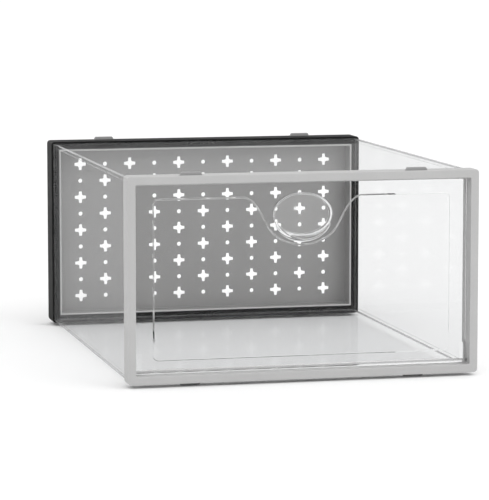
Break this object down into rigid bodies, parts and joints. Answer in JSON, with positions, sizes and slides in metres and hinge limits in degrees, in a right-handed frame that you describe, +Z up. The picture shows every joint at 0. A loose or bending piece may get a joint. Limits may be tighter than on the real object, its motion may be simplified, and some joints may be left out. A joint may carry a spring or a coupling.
{
  "type": "shoe box",
  "caption": "Clear stackable shoe box with a drop-front door, grey front frame, vented back panel and stacking clips",
  "frame": {"origin": "middle of the footprint, on the plane that the bottom clips stand on", "axes": "+X to the right as seen from the front, +Y from the door to the vented back, +Z up"},
  "size_m": [0.256, 0.334, 0.1509],
  "materials": {
    "frame_plastic": "light grey moulded plastic, fine satin",
    "rear_frame_plastic": "charcoal moulded plastic, fine satin",
    "vent_plastic": "mid grey moulded plastic, fine satin",
    "clear_sheet": "clear plastic sheet, polished",
    "clear_door": "clear moulded plastic, polished",
    "clip_plastic": "mid grey moulded plastic"
  },
  "bodies": {
    "box_body": {"front_frame": "frame_plastic", "rear_frame": "rear_frame_plastic", "vent_panel": "vent_plastic", "left_panel": "clear_sheet", "right_panel": "clear_sheet", "top_panel": "clear_sheet", "bottom_panel": "clear_sheet", "clip_top_front_left": "clip_plastic", "clip_top_front_right": "clip_plastic", "clip_top_rear_left": "clip_plastic", "clip_top_rear_right": "clip_plastic", "clip_bottom_front_left": "clip_plastic", "clip_bottom_front_right": "clip_plastic", "clip_bottom_rear_left": "clip_plastic", "clip_bottom_rear_right": "clip_plastic"},
    "door": {"drop_door": "clear_door"}
  },
  "joints": [
    {"name": "door_hinge", "type": "hinge", "parent": "box_body", "child": "door", "pos_m": [0, -0.159, 0.0102], "axis": [1, 0, 0], "range_deg": [0, 90]}
  ]
}
